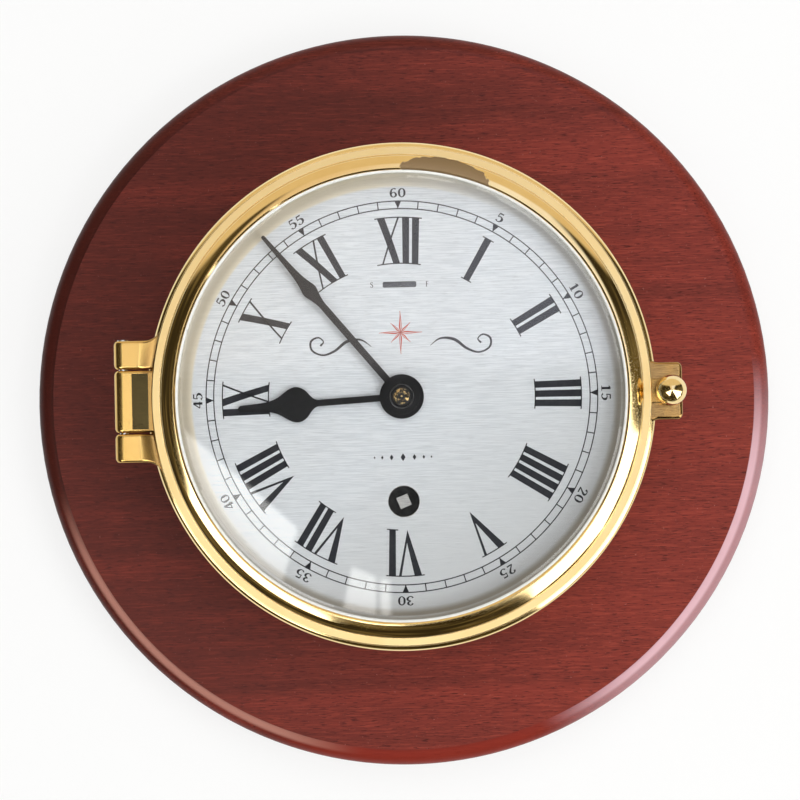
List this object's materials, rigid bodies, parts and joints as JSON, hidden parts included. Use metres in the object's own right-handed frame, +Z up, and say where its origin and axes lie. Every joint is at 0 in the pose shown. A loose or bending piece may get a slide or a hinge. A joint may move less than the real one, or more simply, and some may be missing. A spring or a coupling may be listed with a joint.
{
  "type": "ship's bulkhead clock",
  "caption": "Brass drum bulkhead clock on a round mahogany board, with a hinged glazed bezel, silvered Roman dial, black hands and a key-wound movement",
  "frame": {"origin": "Centre of the back face of the board, on the wall", "axes": "+Z up to the twelve, -Y out of the dial towards the viewer, +X to the viewer's right"},
  "size_m": [0.22, 0.0737, 0.22],
  "materials": {
    "mahogany": "satin polished mahogany",
    "polished_brass": "polished, lightly tarnished",
    "brass": "machined",
    "steel": "machined",
    "clear_glass": "clear with a bevelled edge",
    "silvered_dial": "silvered and finely brushed",
    "black_hands": "matt black"
  },
  "bodies": {
    "clock_body": {"backboard": "mahogany", "hanger_plate": "steel", "hanger_screws": "steel", "case_shell": "polished_brass", "case_screws": "steel", "hinge_pin": "steel", "dial": "silvered_dial", "dial_feet": "brass", "dial_pins": "steel", "movement_posts": "brass", "post_screws": "steel", "back_plate": "brass", "front_plate": "brass", "pillars": "brass", "plate_screws": "steel", "minute_stud": "steel", "click": "steel", "click_screw": "steel", "banking_pins": "steel", "hairspring_stud": "steel", "escapement_bridge": "brass", "bridge_screws": "steel"},
    "bezel_frame": {"bezel": "polished_brass", "glass": "clear_glass", "glass_ring": "brass"},
    "screw_clip": {"screw_clip": "steel"},
    "closing_screw": {"closing_screw": "polished_brass"},
    "minute_hand_set": {"minute_hand": "black_hands", "hand_nut": "polished_brass", "cannon_pinion": "steel"},
    "hour_hand_set": {"hour_hand": "black_hands", "hour_wheel": "brass"},
    "minute_wheel": {"minute_wheel": "brass"},
    "winding_set": {"winding_arbor": "steel", "ratchet_wheel": "steel"},
    "barrel_set": {"barrel": "brass", "barrel_lid": "brass", "mainspring": "steel"},
    "intermediate_set": {"intermediate_wheel": "brass", "intermediate_pinion": "steel"},
    "centre_set": {"centre_wheel": "brass", "centre_pinion": "steel"},
    "third_set": {"third_wheel": "brass", "third_pinion": "steel"},
    "fourth_set": {"fourth_wheel": "brass", "fourth_pinion": "steel"},
    "escape_set": {"escape_wheel": "steel", "escape_pinion": "steel"},
    "lever": {"pallet_lever": "steel"},
    "balance": {"balance_wheel": "brass", "balance_staff": "steel", "hairspring": "steel"},
    "regulator": {"regulator_index": "steel"}
  },
  "joints": [
    {"name": "bezel_hinge", "type": "hinge", "parent": "clock_body", "child": "bezel_frame", "pos_m": [-0.0798, -0.0626, 0], "axis": [0, 0, -1], "range_deg": [0, 120]},
    {"name": "closing_screw_travel", "type": "slide", "parent": "bezel_frame", "child": "screw_clip", "axis": [0, -1, 0], "range_m": [0, 0.0035]},
    {"name": "closing_screw_turn", "type": "hinge", "parent": "screw_clip", "child": "closing_screw", "pos_m": [0.0769, -0.062, 0], "axis": [0, -1, 0], "range_deg": [0, 1805]},
    {"name": "minute_hand_turn", "type": "hinge", "parent": "clock_body", "child": "minute_hand_set", "pos_m": [0, -0.0594, 0], "axis": [0, 1, 0], "continuous": true},
    {"name": "hour_hand_turn", "type": "hinge", "parent": "clock_body", "child": "hour_hand_set", "pos_m": [0, -0.0574, 0], "axis": [0, 1, 0], "continuous": true},
    {"name": "minute_wheel_turn", "type": "hinge", "parent": "clock_body", "child": "minute_wheel", "pos_m": [-0.0112, -0.0479, 0], "axis": [0, 1, 0], "continuous": true},
    {"name": "winding_turn", "type": "hinge", "parent": "clock_body", "child": "winding_set", "pos_m": [0, -0.047, -0.03025], "axis": [0, 1, 0], "range_deg": [0, 1440], "deforming": ["mainspring", "click"]},
    {"name": "fourth_wheel_turn", "type": "hinge", "parent": "clock_body", "child": "fourth_set", "pos_m": [0.01399, -0.028, 0.00739], "axis": [0, 1, 0], "continuous": true},
    {"name": "escape_wheel_turn", "type": "hinge", "parent": "clock_body", "child": "escape_set", "pos_m": [0.011, -0.028, 0.01798], "axis": [0, 1, 0], "continuous": true},
    {"name": "third_wheel_turn", "type": "hinge", "parent": "clock_body", "child": "third_set", "pos_m": [0.01275, -0.028, -0.00444], "axis": [0, 1, 0], "continuous": true},
    {"name": "centre_wheel_turn", "type": "hinge", "parent": "clock_body", "child": "centre_set", "pos_m": [0, -0.028, 0], "axis": [0, 1, 0], "continuous": true},
    {"name": "intermediate_wheel_turn", "type": "hinge", "parent": "clock_body", "child": "intermediate_set", "pos_m": [-0.01019, -0.028, -0.01039], "axis": [0, 1, 0], "continuous": true},
    {"name": "barrel_turn", "type": "hinge", "parent": "clock_body", "child": "barrel_set", "pos_m": [0, -0.028, -0.03025], "axis": [0, 1, 0], "continuous": true},
    {"name": "lever_rock", "type": "hinge", "parent": "clock_body", "child": "lever", "pos_m": [0.00705, -0.047, 0.01942], "axis": [0, 1, 0], "range_deg": [-5, 5]},
    {"name": "balance_swing", "type": "hinge", "parent": "clock_body", "child": "balance", "pos_m": [0, -0.047, 0.022], "axis": [0, 1, 0], "range_deg": [-220, 220], "stiffness_Nm_per_rad": 0.000003, "deforming": ["hairspring"]},
    {"name": "regulator_turn", "type": "hinge", "parent": "clock_body", "child": "regulator", "pos_m": [0, -0.0536, 0.022], "axis": [0, 1, 0], "range_deg": [-13, 13]}
  ],
  "couplings": [
    {"joint": "closing_screw_turn", "follows": "closing_screw_travel", "rad_per_m": 8976},
    {"joint": "hour_hand_turn", "follows": "minute_hand_turn", "ratio": 0.083333},
    {"joint": "minute_wheel_turn", "follows": "minute_hand_turn", "ratio": -0.33333},
    {"joint": "escape_wheel_turn", "follows": "fourth_wheel_turn", "ratio": -10},
    {"joint": "third_wheel_turn", "follows": "fourth_wheel_turn", "ratio": -0.13333},
    {"joint": "centre_wheel_turn", "follows": "fourth_wheel_turn", "ratio": 0.016667},
    {"joint": "intermediate_wheel_turn", "follows": "fourth_wheel_turn", "ratio": -0.0027778},
    {"joint": "barrel_turn", "follows": "fourth_wheel_turn", "ratio": 0.00034722}
  ]
}
